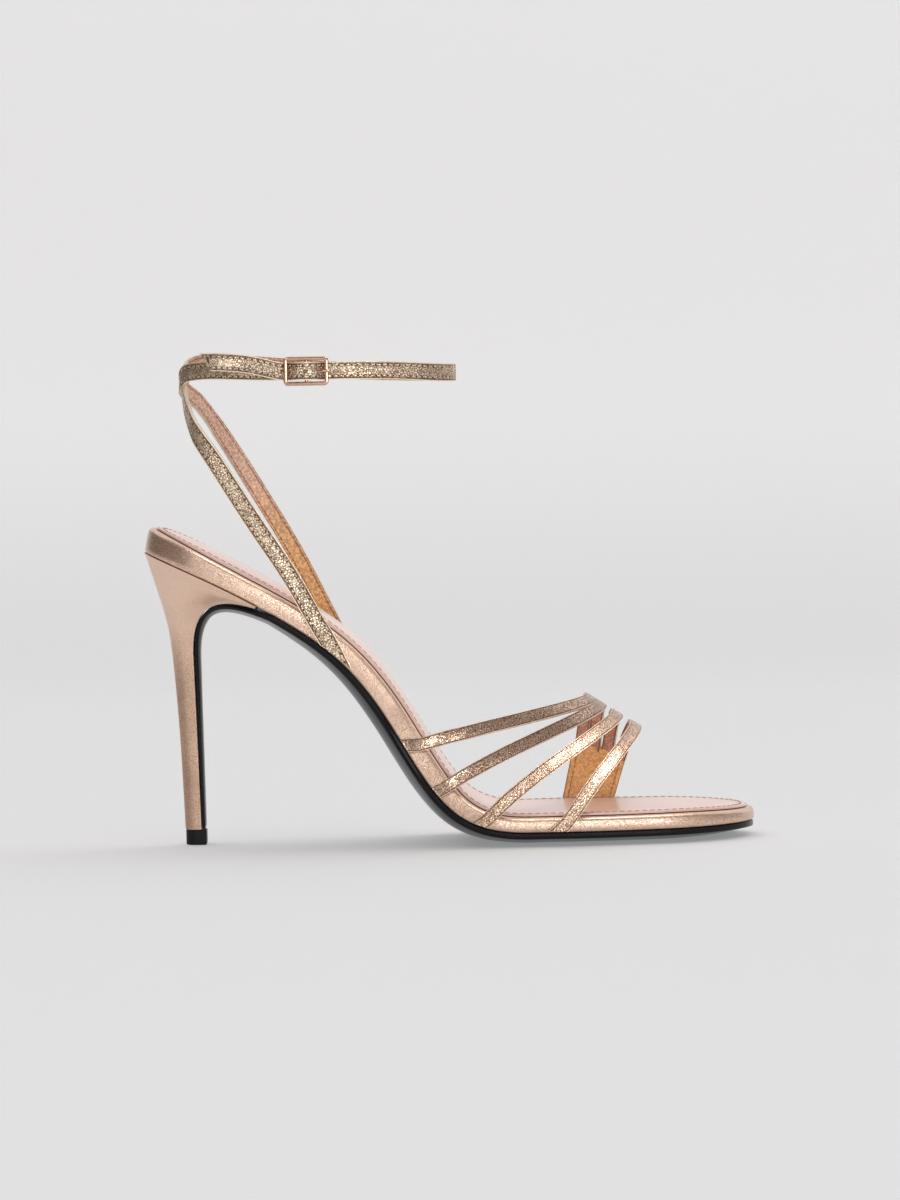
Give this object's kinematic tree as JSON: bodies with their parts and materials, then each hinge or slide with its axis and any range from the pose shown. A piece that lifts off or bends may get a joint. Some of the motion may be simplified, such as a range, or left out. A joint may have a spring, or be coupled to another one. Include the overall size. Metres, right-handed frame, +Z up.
{
  "type": "strappy heeled sandal",
  "caption": "Right-foot strappy sandal on a slim stiletto heel, with narrow toe straps drawn into a side tab and crossed slings that buckle round the ankle",
  "frame": {"origin": "on the floor, at the middle of the flat spot under the ball of the foot", "axes": "+X from heel to toe, +Y to the inner side of the foot (the wearer's left), +Z up"},
  "size_m": [0.2069, 0.0753, 0.1676],
  "materials": {
    "rose_gold_leather": "metallic foil, fine grain",
    "sock_leather": "satin",
    "sole_leather": "gloss",
    "top_piece_rubber": "matt",
    "buckle_metal": "polished, rose-gold plated"
  },
  "bodies": {
    "root": {"insole": "rose_gold_leather", "sock": "sock_leather", "outsole": "sole_leather", "heel": "rose_gold_leather", "top_piece": "top_piece_rubber", "toe_straps": "rose_gold_leather", "ankle_straps": "rose_gold_leather", "buckle_frame": "buckle_metal", "buckle_prong": "buckle_metal"}
  },
  "joints": []
}
